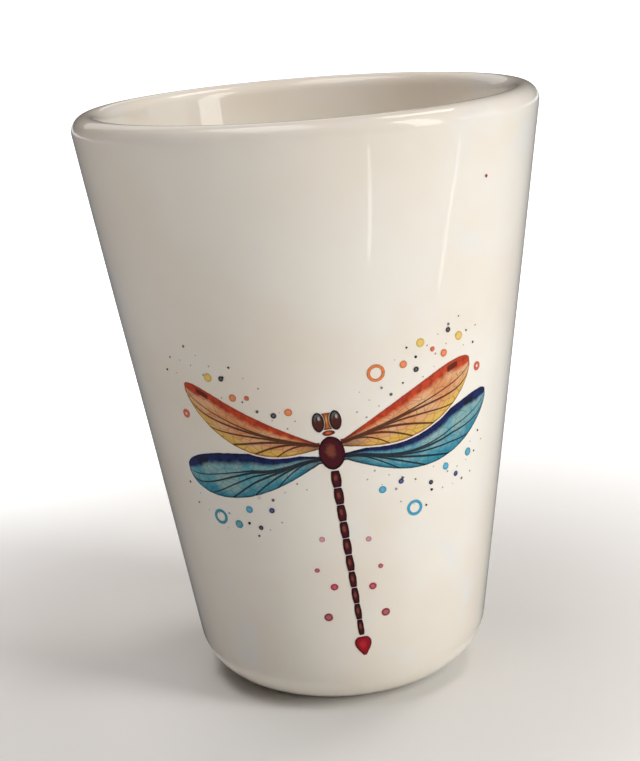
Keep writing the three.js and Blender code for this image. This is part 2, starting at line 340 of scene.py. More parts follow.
glazeLook = {
    "body": colour("f5efe5"),
    "warm": colour("f1e7d9"),
    "cool": colour("eeedea"),
    "speck": colour("6b5140"),
    "roughness": 0.3,
    "haze": 0.1,
    "coatRoughness": 0.05,
    "coatIndex": 1.36,  # a little under a real glaze's 1.5, which keeps the inks deep
    "cloudScale": 55.0,  # scales are waves to a metre
    "coolScale": 140.0,
    "speckScale": 210.0,
    "speckChoiceScale": 320.0,
    "swellScale": 260.0,
    "peelScale": 900.0,
    "glossScale": 75.0,
    "glossSpread": 0.06,
    "relief": 0.05 * mm,
    "reliefStrength": 0.06,
}


def glazeRoughness(sheet, look):
    # the glaze's roughness, which wanders a little from place to place
    return noise(sheet, look["glossScale"]).step(0.3, 0.8) * look["glossSpread"] + look["roughness"]


def glazeMaterial(look):
    # creamy white clay seen through clear glaze: slow warm and cool clouds, sparse iron specks in small
    # pits, and a face that isn't quite level
    material, sheet = newMaterial("clearGlaze")
    clouds = noise(sheet, look["cloudScale"]).step(0.35, 0.7)
    tone = clouds.blend(look["body"], look["warm"])
    tone = noise(sheet, look["coolScale"], 4.0).step(0.55, 0.8).blend(tone, look["cool"])
    place = sheet.node("TexCoord", output=3)
    cells = sheet.node("TexVoronoi", {"feature": "F1"}, {"Vector": place, "Scale": look["speckScale"]})
    chosen = noise(sheet, look["speckChoiceScale"], 1.0).step(0.69, 0.72)
    specks = cells.step(0.09, 0.04) * chosen
    tone = (specks * 0.5).blend(tone, look["speck"])
    orangePeel = noise(sheet, look["peelScale"], 2.0) * 0.3 + noise(sheet, look["swellScale"], 2.0)
    bump = sheet.node("Bump", None, {
        "Strength": look["reliefStrength"],
        "Distance": look["relief"],
        "Height": orangePeel - specks * 0.6,
    })
    finishSurface(sheet, {
        "Base Color": tone,
        "Roughness": glazeRoughness(sheet, look),
        "Normal": bump,
        "Specular IOR Level": look["haze"],
        "Coat Weight": 1.0,
        "Coat Roughness": look["coatRoughness"],
        "Coat IOR": look["coatIndex"],
    })
    return material


clayLook = {
    "body": colour("e3d9c8"),
    "dark": colour("b9a88f"),
    "roughness": 0.86,
    "grainScale": 2600.0,
    "patchScale": 240.0,
    "relief": 0.08 * mm,
}


def clayMaterial(look):
    # bare fired clay: fine grain and darker patches
    material, sheet = newMaterial("bareClay")
    grain = noise(sheet, look["grainScale"], 5.0, 0.7)
    patches = noise(sheet, look["patchScale"], 4.0).step(0.45, 0.75)
    tone = (patches * 0.35 + grain.step(0.6, 0.8) * 0.3).blend(look["body"], look["dark"])
    bump = sheet.node("Bump", None, {"Strength": 0.5, "Distance": look["relief"], "Height": grain})
    finishSurface(sheet, {
        "Base Color": tone,
        "Roughness": grain.step(0.3, 0.8) * 0.1 + (look["roughness"] - 0.05),
        "Normal": bump,
    })
    return material


def dress(piece, material, slotName, *nodes):
    # gives a piece its material and body, and hides the frame's nodes that it stands for; slotName is not
    # used
    piece.data.materials.append(material)
    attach(piece, "root")
    if nodes:
        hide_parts(*nodes)
    return piece


glazeFinish = glazeMaterial(glazeLook)
dress(makeGlaze(), glazeFinish, "glaze", "glaze_coat")
clayPiece, ringInner = makeClay()
dress(clayPiece, clayMaterial(clayLook), "fired_clay", "clay_body")
dress(makeWellGlaze(ringInner), glazeFinish, "glaze", "foot_well_glaze")
print("cup, glaze and foot made")


# The print lies flat first, x to the right and y up from the thorax's centre, and is then tilted and
# bent round the cup.
printing = {
    "across": 0.1 * mm,
    "height": 28.8 * mm,
    "tilt": math.radians(4.6),
    "clearance": 0.12 * mm,
    "lift": 0.006 * mm,
    "bodyLift": 0.024 * mm,  # the body and the dots lie over the wings
    "thickness": 0.012 * mm,
    "bleed": 0.05 * mm,  # how far the ink has run past the outline it was cut to
    "rootReach": 0.32 * mm,  # how far the wings run in under the body
}


def onCup(x, y, out):
    # print place to cup: tilt it, take x as length round the cup at that height, push out from the face
    tilt = printing["tilt"]
    along = printing["across"] + x * math.cos(tilt) - y * math.sin(tilt)
    height = printing["height"] + x * math.sin(tilt) + y * math.cos(tilt)
    turn = along / sideRadius(height)
    out = out + fadedRipple(turn, height)
    radius = sideRadius(height) + out * math.cos(taper)
    level = height - out * math.sin(taper)
    return np.stack([radius * np.sin(turn), -radius * np.cos(turn), level], axis=-1)


def film(name, x, y, values, around=False, lift=printing["bodyLift"]):
    # a thin closed sheet from grids of flat places; values are grids kept at the corners, of which
    # "u" and "v" make the UV map and the others become attributes
    rows, columns = x.shape
    index = np.arange(rows * columns).reshape(rows, columns)
    if around:
        index = np.concatenate([index, index[:, :1]], axis=1)
    a, b, c, d = index[:-1, :-1], index[1:, :-1], index[1:, 1:], index[:-1, 1:]
    top = np.stack([a, b, c, d], axis=-1).reshape(-1, 4)
    flatX, flatY = x.ravel(), y.ravel()
    after = np.roll(top, -1, axis=1)
    area = np.sum(flatX[top] * flatY[after] - flatX[after] * flatY[top])
    edges = [index[0, ::-1], index[-1, :]]
    if not around:
        edges += [index[:, 0], index[::-1, -1]]
    rims = [np.stack([edge[:-1], edge[1:]], axis=-1) for edge in edges]
    rim = np.concatenate(rims)
    under = rows * columns
    walls = np.concatenate([rim[:, ::-1], rim + under], axis=1)
    quads = np.concatenate([top, top[:, ::-1] + under, walls])
    if area < 0:
        quads = quads[:, ::-1]
    high = onCup(flatX, flatY, lift + printing["thickness"])
    low = onCup(flatX, flatY, lift)
    piece = meshPiece(name, np.concatenate([high, low]), quads, np.empty((0, 3), int))
    corners = np.zeros(len(piece.data.loops), int)
    piece.data.loops.foreach_get("vertex_index", corners)
    corners = corners % under
    uv = np.stack([values["u"].ravel()[corners], values["v"].ravel()[corners]], axis=-1)
    piece.data.uv_layers.new(name="sheet").data.foreach_set("uv", uv.ravel())
    for key in sorted(values.keys() - {"u", "v"}):
        data = np.tile(values[key].ravel() / mm, 2)
        piece.data.attributes.new(key, "FLOAT", "POINT").data.foreach_set("value", data)
    return piece


def square(rows, columns):
    # grids of shares from 0 to 1 along and across
    return np.meshgrid(np.linspace(0, 1, rows), np.linspace(0, 1, columns), indexing="ij")


def oval(name, x, y, halfWidth, halfHeight, steps=17):
    # a square grid rounded into a disc, stretched to an oval and moved to its place
    halfWidth, halfHeight = halfWidth + printing["bleed"], halfHeight + printing["bleed"]
    u, v = square(steps, steps)
    sx, sy = 2 * u - 1, 2 * v - 1
    dx, dy = sx * np.sqrt(1 - sy ** 2 / 2), sy * np.sqrt(1 - sx ** 2 / 2)
    away = np.sqrt(dx ** 2 + dy ** 2)
    values = {"u": (dx + 1) / 2, "v": (dy + 1) / 2, "edge": (1 - away) * min(halfWidth, halfHeight)}
    return film(name, x + halfWidth * dx, y + halfHeight * dy, values)


def ringFilm(name, x, y, radius, width, steps=48):
    # an annulus: shares across the line, and once around
    radius, width = radius + printing["bleed"], width + 2 * printing["bleed"]
    u, v = np.meshgrid(np.linspace(0, 1, 7), np.linspace(0, 1, steps, endpoint=False), indexing="ij")
    reach = radius - width * (1 - u)
    angle = 2 * math.pi * v
    values = {"u": u, "v": v, "edge": np.minimum(u, 1 - u) * width}
    return film(name, x + reach * np.cos(angle), y + reach * np.sin(angle), values, True)


thorax = {"halfWidth": 1.2 * mm, "halfHeight": 1.7 * mm}
wings = {
    "upper_right": {"side": 1, "root": 0.95, "reach": 14.2, "rise": 4.6, "chord": 4.8, "bow": -0.4},
    "upper_left": {"side": -1, "root": 0.95, "reach": 12.8, "rise": 6.6, "chord": 4.2, "bow": -1.0},
    "lower_right": {"side": 1, "root": -0.5, "reach": 16.4, "rise": 2.0, "chord": 4.4, "bow": -1.4},
    "lower_left": {"side": -1, "root": -0.5, "reach": 14.5, "rise": -0.5, "chord": 4.7, "bow": -0.3},
}  # in millimetres
wingAbove = {"lower_right": "upper_right", "lower_left": "upper_left"}
wingShape = {
    "leadShare": 0.38,  # part of the chord above the wing's axis
    "rootShare": 0.16,  # chord at the root, as part of the full chord
    "fullAt": 0.62,
    "roundFrom": 0.66,
    "tipShare": 0.16,
    "gap": 0.2 * mm,  # a lower wing keeps this far below the one above it
    "thinnest": 0.1 * mm,
}
wingRootOut = thorax["halfWidth"] + printing["clearance"]


def wingChord(wing, share):
    # widens along a sine to its full chord, then rounds off towards the tip like an ellipse
    shape = wingShape
    widening = np.sin(math.pi / 2 * np.minimum(share / shape["fullAt"], 1))
    toTip = np.maximum(0, (share - shape["roundFrom"]) / (1 - shape["roundFrom"]))
    rounding = np.sqrt(1 - (1 - shape["tipShare"] ** 2) * toTip ** 2)
    return wing["chord"] * mm * (shape["rootShare"] + (1 - shape["rootShare"]) * widening) * rounding


def wingEdges(name, out):
    # the upper and lower edge at a distance out from the body's axis
    wing = wings[name]
    share = np.clip((out - wingRootOut) / (wing["reach"] * mm), 0, 1)
    axis = (wing["root"] + wing["rise"] * share + wing["bow"] * np.sin(math.pi * share)) * mm
    chord = wingChord(wing, share)
    upper = axis + wingShape["leadShare"] * chord
    above = wingAbove.get(name)
    if above:
        under = wingEdges(above, out)[1] - wingShape["gap"]
        upper = np.where(out <= wingRootOut + wings[above]["reach"] * mm, np.minimum(upper, under), upper)
    lower = np.minimum(axis - (1 - wingShape["leadShare"]) * chord, upper - wingShape["thinnest"])
    return upper, lower


def makeWing(name):
    # rows run out from under the body to the tip, columns from the lower edge to the upper one
    reach, bleed = wings[name]["reach"] * mm, printing["bleed"]
    along, across = square(131, 41)
    out = wingRootOut - printing["rootReach"] + along * (reach + printing["rootReach"] + bleed)
    upper, lower = wingEdges(name, out)
    chord = upper - lower
    u = np.clip((out - wingRootOut) / reach, 0, 1)
    v = np.clip(across + (2 * across - 1) * bleed / chord, 0, 1)
    y = lower - bleed + across * (chord + 2 * bleed)
    toTip = (1 - along) * (reach + printing["rootReach"] + bleed)
    edge = np.minimum(np.minimum(across, 1 - across) * (chord + 2 * bleed), toTip)
    values = {"u": u, "v": v, "edge": edge, "chord": chord}
    return film("wing_" + name, wings[name]["side"] * out, y, values, lift=printing["lift"])


def readPrint(sheet):
    # the film's own shares along and across, and its distance from the ink's edge in millimetres
    uv = sheet.node("UVMap", {"uv_map": "sheet"})
    u = sheet.node("SeparateXYZ", None, {0: uv}, 0)
    v = sheet.node("SeparateXYZ", None, {0: uv}, 1)
    edge = sheet.node("Attribute", {"attribute_name": "edge"}, None, 2)
    return u, v, edge


def inkFinish(sheet, tone, alpha):
    # ink under the same clear gloss as the glaze round it
    finishSurface(sheet, {
        "Base Color": tone,
        "Alpha": alpha,
        "Roughness": glazeRoughness(sheet, glazeLook),
        "Specular IOR Level": glazeLook["haze"],
        "Coat Weight": 1.0,
        "Coat Roughness": glazeLook["coatRoughness"],
        "Coat IOR": glazeLook["coatIndex"],
    })


def softEdge(sheet, edge, soft=0.09, wander=0.10):
    # ink that thins out at its edge, along a slightly wandering line
    return (edge + (noise(sheet, 1500.0, 3.0) - 0.5) * wander).step(0.0, soft)


veins = [  # where each main vein meets the lower edge, how it bends, and its width in millimetres
    {"end": 0.30, "bend": 1.5, "width": 0.16},
    {"end": 0.47, "bend": 1.7, "width": 0.22},
    {"end": 0.64, "bend": 2.0, "width": 0.26},
    {"end": 0.82, "bend": 2.3, "width": 0.22},
    {"end": 1.02, "bend": 2.8, "width": 0.29},
    {"end": 1.30, "bend": 3.2, "width": 0.20},
]


def veinLines(sheet, u, v, chord):
    # each vein leaves the root and falls to the lower edge along v = start * (1 - (u / end) ** bend)
    lines = None
    for vein in veins:
        middle = 0.62 * (1 - (u / vein["end"]) ** vein["bend"])
        away = abs(v - middle) * chord
        width = vein["width"] * (1.15 - 0.75 * u.least(1.0))
        shade = 1 - (away / width).step(0.35, 0.75)
        lines = shade if lines is None else lines.most(shade)
    return lines


def cellNet(sheet, u, v, chord, reach, size):
    # the net of small cells between the veins: the borders of random cells, longer than they are wide
    place = sheet.node("CombineXYZ", None, {0: u * (reach / size * 0.6), 1: v * chord / size})
    settings = {"feature": "DISTANCE_TO_EDGE", "voronoi_dimensions": "2D"}
    return sheet.node("TexVoronoi", settings, {"Vector": place, "Scale": 1.0}).step(0.09, 0.03)


upperWingLook = {
    "lead": colour("cf4a24"),
    "leadDark": colour("a8341c"),
    "middle": colour("e6b184"),
    "middleWarm": colour("dd9460"),
    "trail": colour("e2bd52"),
    "vein": colour("4a1f12"),
}
lowerWingLook = {
    "lead": colour("1c2a63"),
    "leadDark": colour("121a40"),
    "middle": colour("8fb4b4"),
    "middleWarm": colour("4f9cae"),
    "trail": colour("1f86a0"),
    "vein": colour("1d1a26"),
}


def wingMaterial(name, look, reach):
    # watercolour: a dark band along the upper edge, a pale middle with blooms, a bright lower edge,
    # dark veins that fan out from the root, and a fine net of cells
    material, sheet = newMaterial(name)
    u, v, edge = readPrint(sheet)
    chord = sheet.node("Attribute", {"attribute_name": "chord"}, None, 2)
    blooms = noise(sheet, 420.0, 4.0, 0.6)
    fine = noise(sheet, 1400.0, 3.0, 0.6)
    middle = blooms.step(0.35, 0.68).blend(look["middle"], look["middleWarm"])
    shaded = (0.33 + (blooms - 0.5) * 0.3 - v).step(0.0, 0.28)
    tone = (shaded * 0.85).blend(middle, look["trail"])
    band = (v + (fine - 0.5) * 0.12 + (u - 0.8).most(0.0) * 1.2).step(0.70, 0.86)
    lead = fine.step(0.35, 0.7).blend(look["lead"], look["leadDark"])
    tone = band.blend(tone, lead)
    rim = (edge + (fine - 0.5) * 0.16).step(0.30, 0.05)
    tone = (rim * 0.75).blend(tone, look["leadDark"])
    root = (u + (blooms - 0.5) * 0.1).step(0.2, 0.0)
    tone = (root * 0.6).blend(tone, look["vein"])
    net = cellNet(sheet, u, v, chord, reach, 0.62) * (1 - band)
    tone = (net * 0.32).blend(tone, look["vein"])
    lines = veinLines(sheet, u, v, chord) * (1 - band * 0.3)
    tone = (lines * 0.92).blend(tone, look["vein"])
    spot = (abs(u - 0.84) * reach).step(0.75, 0.55) * abs(v - 0.86).step(0.09, 0.05)
    tone = (spot * 0.85).blend(tone, look["vein"])
    inkFinish(sheet, tone, softEdge(sheet, edge))
    return material


for name, wing in wings.items():
    look = upperWingLook if name.startswith("upper") else lowerWingLook
    slotName = "ink_upper_wing" if name.startswith("upper") else "ink_lower_wing"
    material = wingMaterial("ink_wing_" + name, look, wing["reach"])
    dress(makeWing(name), material, slotName, "print_wing_" + name)
print("wings printed")


body = {
    "collarHalfWidth": 0.62 * mm,
    "collarHeight": 0.5 * mm,
    "faceWaist": 0.32 * mm,
    "faceHalfHeight": 0.82 * mm,
    "eyeHalfWidth": 0.54 * mm,
    "eyeHalfHeight": 1.0 * mm,
    "segments": 10,
    "abdomenLength": 18.2 * mm,
    "widthAtThorax": 0.92 * mm,
    "widthAtTip": 0.56 * mm,
    "slimming": 0.28,
    "tipLength": 2.2 * mm,
    "tipHalfWidth": 0.8 * mm,
}
collarY = thorax["halfHeight"] + printing["clearance"] + body["collarHeight"] / 2
faceY = collarY + body["collarHeight"] / 2 + printing["clearance"] + body["faceHalfHeight"]
eyeX = body["faceWaist"] / 2 + printing["clearance"] + body["eyeHalfWidth"]


bodyInks = {
    "body": {
        "base": colour("4f1420"), "rim": colour("2a080f"),
        "worn": colour("8a4a34"), "wornSize": 0.26,
    },
    "collar": {
        "base": colour("b23a24"), "rim": colour("6e1a14"),
        "worn": colour("d9743c"), "wornSize": 0.3,
    },
    "face": {
        "base": colour("c9762f"), "rim": colour("7c3a1a"),
        "worn": colour("e6a650"), "wornSize": 0.3,
    },
    "tail_tip": {
        "base": colour("a01222"), "rim": colour("5e0812"),
        "worn": colour("c42a34"), "wornSize": 0.3,
    },
}
eyeLook = {
    "rim": colour("1f0d10"),
    "base": colour("5a2a22"),
    "crescent": colour("5f7c80"),
    "facetLine": colour("12070a"),
    "glint": colour("cfc9bd"),
    "facetScale": 9000.0,
}


def bodyMaterial(name):
    # dark ink with a darker wandering rim and a lighter, worn patch in the middle
    look = bodyInks[name]
    material, sheet = newMaterial("ink_" + name)
    u, v, edge = readPrint(sheet)
    fine = noise(sheet, 1700.0, 3.0, 0.6)
    tone = (edge + (fine - 0.5) * 0.2).step(0.05, 0.32).blend(look["rim"], look["base"])
    away = ((u - 0.46) ** 2 + (v - 0.56) ** 2) ** 0.5
    patch = (away + (fine - 0.5) * 0.25).step(look["wornSize"], look["wornSize"] * 0.35)
    tone = (patch * 0.8).blend(tone, look["worn"])
    inkFinish(sheet, tone, softEdge(sheet, edge, 0.08, 0.08))
    return material


def eyeMaterial(look):
    # a compound eye: dark brown, a cooler crescent towards its top, tiny facets and a pale glint
    material, sheet = newMaterial("ink_eye")
    u, v, edge = readPrint(sheet)
    tone = edge.step(0.04, 0.22).blend(look["rim"], look["base"])
    fromCrescent = abs(((u - 0.5) ** 2 + (v - 0.62) ** 2) ** 0.5 - 0.22)
    tone = (fromCrescent.step(0.10, 0.02) * v.step(0.45, 0.75) * 0.7).blend(tone, look["crescent"])
    facets = sheet.node("TexVoronoi", {"feature": "DISTANCE_TO_EDGE"}, {
        "Vector": sheet.node("TexCoord", output=3), "Scale": look["facetScale"],
    })
    tone = (facets.step(0.12, 0.02) * 0.35).blend(tone, look["facetLine"])
    glint = (((u - 0.6) ** 2 + (v - 0.68) ** 2) ** 0.5).step(0.13, 0.05)
    tone = (glint * 0.8).blend(tone, look["glint"])
    inkFinish(sheet, tone, softEdge(sheet, edge, 0.08, 0.06))
    return material


def makeSegment(index):
    # a barrel, a little slimmer at both ends; the segments get smaller towards the tip
    pitch = body["abdomenLength"] / body["segments"]
    share = (index + 0.5) / body["segments"]
    width = (1 - share) * body["widthAtThorax"] + share * body["widthAtTip"]
    middle = -thorax["halfHeight"] - printing["clearance"] - pitch * (index + 0.5)
    u, v = square(13, 21)
    halfWidth = width / 2 * (1 - body["slimming"] * (2 * v - 1) ** 2) + printing["bleed"]
    length = pitch - printing["clearance"] + 2 * printing["bleed"]
    edge = np.minimum(np.minimum(u, 1 - u) * 2 * halfWidth, np.minimum(v, 1 - v) * length)
    return film(f"abdomen_{index + 1}", (2 * u - 1) * halfWidth, middle + (v - 0.5) * length,
                {"u": u, "v": v, "edge": edge})


def makeTailTip():
    # a leaf: a sine outline squeezed upwards, pointed below
    top = -thorax["halfHeight"] - 2 * printing["clearance"] - body["abdomenLength"]
    u, v = square(21, 31)
    down = 1 - v
    halfWidth = body["tipHalfWidth"] * np.sin(math.pi * (0.12 + 0.84 * down ** 0.7)) + printing["bleed"]
    edge = np.minimum(np.minimum(u, 1 - u) * 2 * halfWidth, np.minimum(v, 1 - v) * body["tipLength"])
    return film("tailTip", (2 * u - 1) * halfWidth, top - down * body["tipLength"],
                {"u": u, "v": v, "edge": edge})


def makeFace():
    # fills the space between the eyes: its sides follow their curve at an even clearance
    u, v = square(17, 25)
    up = (2 * v - 1) * (body["faceHalfHeight"] + printing["bleed"])
    eyeWidth = body["eyeHalfWidth"] * np.sqrt(1 - (up / body["eyeHalfHeight"]) ** 2)
    halfWidth = eyeX - printing["clearance"] - eyeWidth + printing["bleed"]
    fromTop = np.minimum(v, 1 - v) * 2 * body["faceHalfHeight"]
    edge = np.minimum(np.minimum(u, 1 - u) * 2 * halfWidth, fromTop)
    return film("face", (2 * u - 1) * halfWidth, faceY + up, {"u": u, "v": v, "edge": edge})


maroon = bodyMaterial("body")
thoraxFilm = oval("thorax", 0, 0, thorax["halfWidth"], thorax["halfHeight"], 33)
dress(thoraxFilm, maroon, "ink_body", "print_thorax")
collar = oval("collar", 0, collarY, body["collarHalfWidth"], body["collarHeight"] / 2)
dress(collar, bodyMaterial("collar"), "ink_collar", "print_collar")
dress(makeFace(), bodyMaterial("face"), "ink_face", "print_face")
eyeInk = eyeMaterial(eyeLook)
for side, name in ((-1, "left"), (1, "right")):
    eye = oval("eye_" + name, side * eyeX, faceY, body["eyeHalfWidth"], body["eyeHalfHeight"], 25)
    dress(eye, eyeInk, "ink_eye", "print_eye_" + name)
for index in range(body["segments"]):
    dress(makeSegment(index), maroon, "ink_body", f"print_abdomen_{index + 1}")
dress(makeTailTip(), bodyMaterial("tail_tip"), "ink_tail_tip", "print_tail_tip")
print("body printed")


rings = [
    {"name": "upper_right", "wing": "upper_right", "edge": 1, "out": 5.2, "off": 3.1, "radius": 0.85},
    {"name": "wing_tip_right", "wing": "upper_right", "edge": -1, "out": 16.6, "off": 0.1, "radius": 0.45},
    {"name": "wing_tip_left", "wing": "upper_left", "edge": -1, "out": 14.6, "off": 2.0, "radius": 0.45},
    {"name": "lower_left", "wing": "lower_left", "edge": -1, "out": 12.6, "off": 1.6, "radius": 0.8},
    {"name": "lower_right", "wing": "lower_right", "edge": -1, "out": 7.2, "off": 3.5, "radius": 0.82},
]  # in millimetres
ringInks = {"upper_right": "orange", "wing_tip_right": "red", "wing_tip_left": "red",
            "lower_left": "teal", "lower_right": "sky_blue"}
ringLineWidth = 0.28 * mm
dotInks = {
    "warm": ["orange", "charcoal", "yellow", "red"],
    "cool": ["sky_blue", "navy", "teal", "dark_slate"],
    "rose": ["crimson", "pink", "deep_red", "rose"],
}
dotFields = [  # edge is 1 above a wing or right of the tail, -1 below or left; lengths in millimetres
    {"name": "upper_left", "edge": 1, "inks": "warm", "dots": 6,
     "from": 2.5, "to": 12.4, "near": 0.6, "far": 2.4},
    {"name": "upper_right", "edge": 1, "inks": "warm", "dots": 7,
     "from": 7.2, "to": 15.6, "near": 0.7, "far": 3.6},
    {"name": "lower_left", "edge": -1, "inks": "cool", "dots": 4,
     "from": 5.2, "to": 11.4, "near": 0.6, "far": 3.6},
    {"name": "lower_right", "edge": -1, "inks": "cool", "dots": 6,
     "from": 3.0, "to": 16.4, "near": 0.6, "far": 2.6},
    {"name": "tail_left", "edge": -1, "inks": "rose", "dots": 4,
     "from": 5.6, "to": 19.5, "near": 0.8, "far": 2.8},
    {"name": "tail_right", "edge": 1, "inks": "rose", "dots": 4,
     "from": 6.4, "to": 20.0, "near": 0.8, "far": 2.4},
]
dotRadii = [0.36, 0.27, 0.42, 0.24]
goldenShare = (math.sqrt(5) - 1) / 2
inkColours = {
    "orange": "ea8038", "charcoal": "34303a", "yellow": "ecc24a", "red": "e05a34",
    "sky_blue": "2fa6cc", "navy": "1e3478", "teal": "2e9cb0", "dark_slate": "2c2f42",
    "crimson": "b81c42", "pink": "d78fa2", "deep_red": "a01838", "rose": "c4506e",
}


def dotMaterial(name, code):
    # a drop of ink: a touch paler in the middle, fullest near its rim, with a soft halo
    material, sheet = newMaterial("ink_" + name)
    u, v, edge = readPrint(sheet)
    base = colour(code)
    pale = tuple(0.86 * part + 0.14 for part in base[:3]) + (1.0,)
    fine = noise(sheet, 1900.0, 3.0, 0.6)
    tone = (edge + (fine - 0.5) * 0.12).step(0.30, 0.10).blend(pale, base)
    inkFinish(sheet, tone, softEdge(sheet, edge, 0.13, 0.08) * 0.96)
    return material


dotMaterials = {name: dotMaterial(name, code) for name, code in inkColours.items()}


def besideWing(name, edge, out, off):
    # a place at a distance out from the body and off a wing's upper (edge 1) or lower (edge -1) edge
    upper, lower = wingEdges(name, np.array(out * mm))
    y = float(upper) + off * mm if edge > 0 else float(lower) - off * mm
    return wings[name]["side"] * out * mm, y


for ring in rings:
    x, y = besideWing(ring["wing"], ring["edge"], ring["out"], ring["off"] + ring["radius"])
    ink = ringInks[ring["name"]]
    made = ringFilm("ring_" + ring["name"], x, y, ring["radius"] * mm, ringLineWidth)
    dress(made, dotMaterials[ink], "ink_" + ink, "print_ring_" + ring["name"])

for field in dotFields:
    for i in range(field["dots"]):
        radius = dotRadii[i % len(dotRadii)]
        share = (i + 1) * goldenShare % 1
        along = field["from"] + (field["to"] - field["from"]) * share
        off = field["near"] + (field["far"] - field["near"]) * (i + 0.5) / field["dots"] + radius
        if field["name"] in wings:
            x, y = besideWing(field["name"], field["edge"], along, off)
        else:
            x, y = field["edge"] * (body["widthAtThorax"] / 2 + off * mm), -along * mm
        ink = dotInks[field["inks"]][i % 4]
        made = oval(f"dot_{field['name']}_{i + 1}", x, y, radius * mm, radius * mm)
        dress(made, dotMaterials[ink], "ink_" + ink, f"print_dot_{field['name']}_{i + 1}")
print("dots and rings printed")


specks = {
    "fields": [  # the wing, its upper (1) or lower (-1) edge, and how many drops lie beside it
        ("upper_right", 1, 26), ("upper_left", 1, 20), ("lower_right", -1, 24), ("lower_left", -1, 16),
    ],
    "from": 2.4 * mm,
    "to": 17.0 * mm,
    "near": 0.35 * mm,
    "far": 4.4 * mm,
    "smallest": 0.07 * mm,
    "largest": 0.19 * mm,
    "lift": 0.042 * mm,
    "pale": colour("b9adb0"),
    "dark": colour("35292f"),
    "strayAlong": 17.8 * mm,  # one stray red drop under the rim
    "strayHeight": 53.1 * mm,
    "strayRadius": 0.2 * mm,
    "red": colour("a8141c"),
}


def speckPlaces():
    # drops scattered beside the wings by three irrational steps; tone 0 is pale, 1 is dark, 2 is red
    places = []
    for name, edge, count in specks["fields"]:
        i = np.arange(1, count + 1)
        out = specks["from"] + (specks["to"] - specks["from"]) * (i * goldenShare % 1)
        off = specks["near"] + (specks["far"] - specks["near"]) * (i * math.sqrt(2) % 1) ** 1.2
        upper, lower = wingEdges(name, out)
        y = upper + off if edge > 0 else lower - off
        size = (i * math.sqrt(3) % 1) ** 2
        radius = specks["smallest"] + (specks["largest"] - specks["smallest"]) * size
        places.append(np.stack([wings[name]["side"] * out, y, radius, i * math.sqrt(5) % 1], axis=-1))
    along, up = specks["strayAlong"] - printing["across"], specks["strayHeight"] - printing["height"]
    cosine, sine = math.cos(printing["tilt"]), math.sin(printing["tilt"])
    stray = [[along * cosine + up * sine, up * cosine - along * sine, specks["strayRadius"], 2.0]]
    return np.concatenate(places + [np.array(stray)])


def makeSpecks():
    # each drop is a low ten-sided button: a middle and a rim above, the same below
    x, y, radius, tone = speckPlaces().T[:, :, None]
    turn = np.linspace(0, 2 * math.pi, 10, endpoint=False)
    px = np.concatenate([x, x + radius * np.cos(turn)], axis=1)
    py = np.concatenate([y, y + radius * np.sin(turn)], axis=1)
    high = onCup(px.ravel(), py.ravel(), specks["lift"] + printing["thickness"])
    low = onCup(px.ravel(), py.ravel(), specks["lift"])
    under = px.size
    first = np.arange(len(px))[:, None] * 11
    rim = first + 1 + np.arange(10)
    beside = first + 1 + (np.arange(10) + 1) % 10
    middle = np.broadcast_to(first, rim.shape)
    top = np.stack([middle, rim, beside], axis=-1).reshape(-1, 3)
    walls = np.stack([rim, rim + under, beside + under, beside], axis=-1).reshape(-1, 4)
    caps = np.concatenate([top, top[:, ::-1] + under])
    piece = meshPiece("specks", np.concatenate([high, low]), walls, caps)
    edge = np.concatenate([radius / mm, np.zeros((len(px), 10))], axis=1)
    tones = np.repeat(tone, 11, axis=1)
    for key, values in (("edge", edge), ("tone", tones)):
        data = np.tile(values.ravel(), 2)
        piece.data.attributes.new(key, "FLOAT", "POINT").data.foreach_set("value", data)
    return piece


def speckMaterial():
    # thin grey and near-black drops, each of one tone, and the red one
    material, sheet = newMaterial("ink_specks")
    edge = sheet.node("Attribute", {"attribute_name": "edge"}, None, 2)
    tone = sheet.node("Attribute", {"attribute_name": "tone"}, None, 2)
    fine = noise(sheet, 2600.0, 3.0, 0.6)
    ink = (tone + (fine - 0.5) * 0.2).step(0.2, 0.7).blend(specks["pale"], specks["dark"])
    ink = tone.step(1.4, 1.6).blend(ink, specks["red"])
    inkFinish(sheet, ink, softEdge(sheet, edge, 0.08, 0.05) * 0.92)
    return material


dress(makeSpecks(), speckMaterial(), "ink_charcoal")
print("specks printed")


